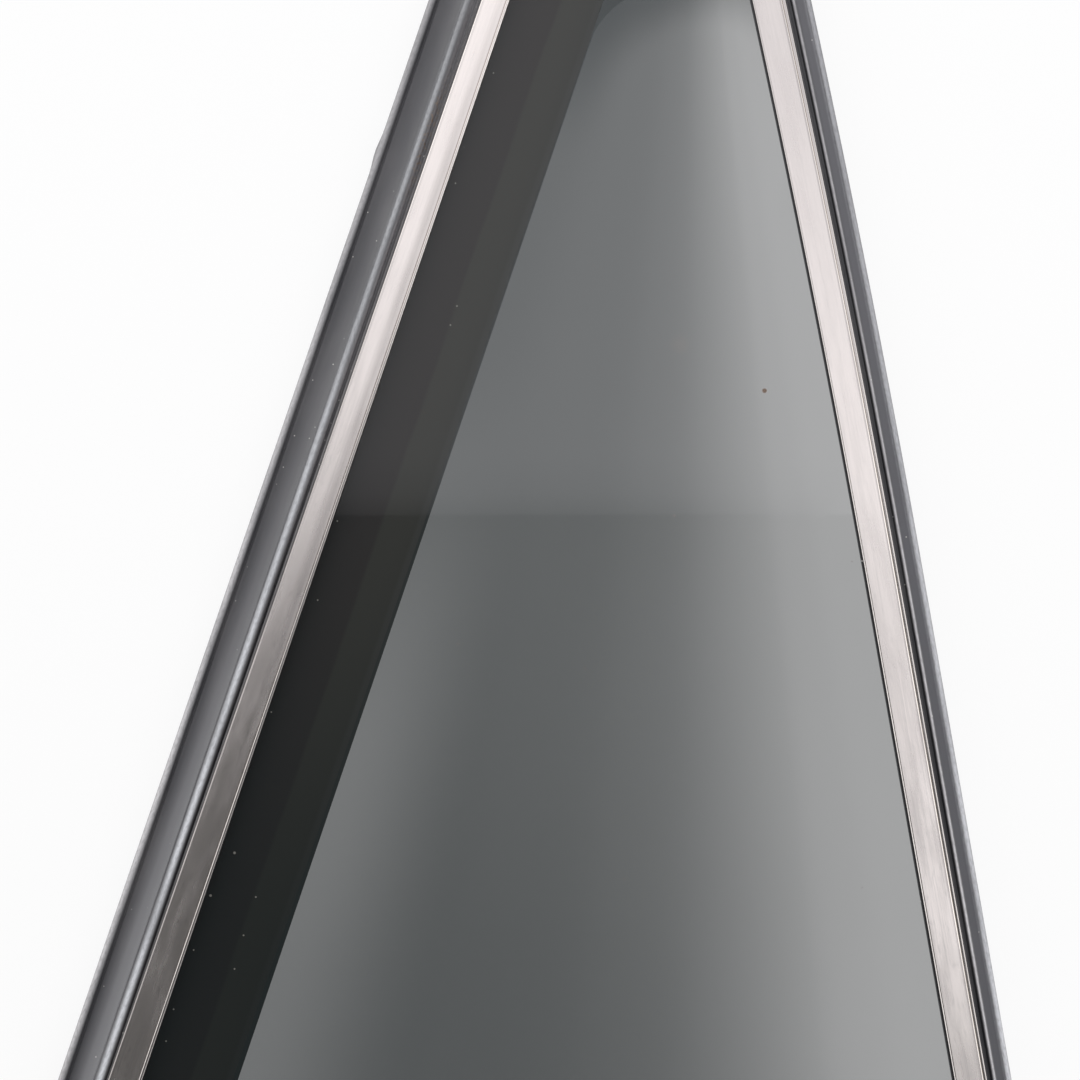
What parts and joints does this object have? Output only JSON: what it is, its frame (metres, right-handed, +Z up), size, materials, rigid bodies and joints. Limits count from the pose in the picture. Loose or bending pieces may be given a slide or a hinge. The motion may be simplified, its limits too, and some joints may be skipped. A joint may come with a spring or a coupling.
{
  "type": "quarter window glass",
  "caption": "Bent tinted side window with a fired black border, a rubber edge moulding and a bright trim along each long side, tapering to a pointed nose.",
  "frame": {"origin": "bottom centre of the part as it lies on its back, outer face up", "axes": "+Z up out of the outer face, +Y along the straight belt edge towards the pointed nose, +X from the belt edge towards the roof edge"},
  "size_m": [0.289, 0.5674, 0.0174],
  "materials": {
    "tinted_glass": "polished, grey privacy tint",
    "fired_enamel": "black ceramic enamel fired on the pane's inner face",
    "black_rubber": "moulded, satin",
    "bright_trim": "satin brushed"
  },
  "bodies": {
    "root": {"window_pane": "tinted_glass", "fired_border": "fired_enamel", "edge_moulding": "black_rubber", "belt_trim": "bright_trim", "roof_trim": "bright_trim"}
  },
  "joints": []
}
